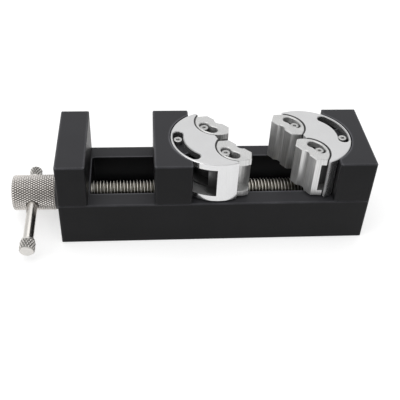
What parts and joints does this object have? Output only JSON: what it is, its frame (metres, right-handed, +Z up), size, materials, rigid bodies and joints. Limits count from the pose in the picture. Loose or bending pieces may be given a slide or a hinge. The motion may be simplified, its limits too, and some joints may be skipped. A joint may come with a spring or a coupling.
{
  "type": "drill press vise",
  "caption": "Small screw-driven vise: black block base with a sliding jaw, half-disc rotors and swinging pads that settle on uneven work, and a knurled knob with a sliding cross bar.",
  "frame": {"origin": "centre of the base's underside, on the surface that the vise stands on", "axes": "+X along the lead screw towards the fixed jaw, +Y to the back, +Z up"},
  "size_m": [0.157, 0.0551, 0.0413],
  "materials": {
    "black_block": "black anodised, satin",
    "silver": "bead-blasted and clear anodised, satin",
    "steel": "plain steel",
    "nickel": "nickel plated, knurled",
    "dark_steel": "black oxide"
  },
  "bodies": {
    "base": {"base": "black_block", "end_post": "black_block", "end_post_bolts": "dark_steel", "fixed_jaw": "black_block", "fixed_jaw_bolts": "dark_steel", "fixed_rotor_stop": "steel"},
    "screw": {"lead_screw": "steel", "thrust_collar": "dark_steel", "knob": "nickel", "knob_set_screw": "dark_steel"},
    "tommy_bar": {"tommy_bar": "nickel", "bar_cap_front": "nickel", "bar_cap_rear": "nickel"},
    "moving_jaw": {"moving_jaw": "black_block", "keeper_plate": "dark_steel", "keeper_screws": "steel", "moving_rotor_stop": "steel"},
    "moving_rotor": {"moving_rotor": "silver", "moving_pad_stops": "steel"},
    "moving_pad_back": {"moving_pad_back": "silver"},
    "moving_pad_front": {"moving_pad_front": "silver"},
    "fixed_rotor": {"fixed_rotor": "silver", "fixed_pad_stops": "steel"},
    "fixed_pad_back": {"fixed_pad_back": "silver"},
    "fixed_pad_front": {"fixed_pad_front": "silver"}
  },
  "joints": [
    {"name": "screw_turn", "type": "hinge", "parent": "base", "child": "screw", "pos_m": [0, 0, 0.0115], "axis": [1, 0, 0], "range_deg": [-4320, 6480]},
    {"name": "jaw_slide", "type": "slide", "parent": "base", "child": "moving_jaw", "axis": [1, 0, 0], "range_m": [-0.0271, 0.0181]},
    {"name": "bar_slide", "type": "slide", "parent": "screw", "child": "tommy_bar", "axis": [0, 0.9903, 0.1392], "range_m": [0, 0.0195]},
    {"name": "moving_rotor_swing", "type": "hinge", "parent": "moving_jaw", "child": "moving_rotor", "pos_m": [0.001, 0, 0.0415], "axis": [0, 0, 1], "range_deg": [-52.5, 7.5]},
    {"name": "moving_pad_back_swing", "type": "hinge", "parent": "moving_rotor", "child": "moving_pad_back", "pos_m": [0.00209, 0.01149, 0.0415], "axis": [0, 0, 1], "range_deg": [-46, 2]},
    {"name": "moving_pad_front_swing", "type": "hinge", "parent": "moving_rotor", "child": "moving_pad_front", "pos_m": [0.00989, -0.00736, 0.0415], "axis": [0, 0, 1], "range_deg": [-46, 2]},
    {"name": "fixed_rotor_swing", "type": "hinge", "parent": "base", "child": "fixed_rotor", "pos_m": [0.04, 0, 0.0415], "axis": [0, 0, 1], "range_deg": [-51.5, 8.5]},
    {"name": "fixed_pad_back_swing", "type": "hinge", "parent": "fixed_rotor", "child": "fixed_pad_back", "pos_m": [0.03124, 0.00751, 0.0415], "axis": [0, 0, 1], "range_deg": [-37, 11]},
    {"name": "fixed_pad_front_swing", "type": "hinge", "parent": "fixed_rotor", "child": "fixed_pad_front", "pos_m": [0.03871, -0.01147, 0.0415], "axis": [0, 0, 1], "range_deg": [-37, 11]}
  ],
  "couplings": [
    {"joint": "jaw_slide", "follows": "screw_turn", "m_per_rad": -0.00023873}
  ]
}
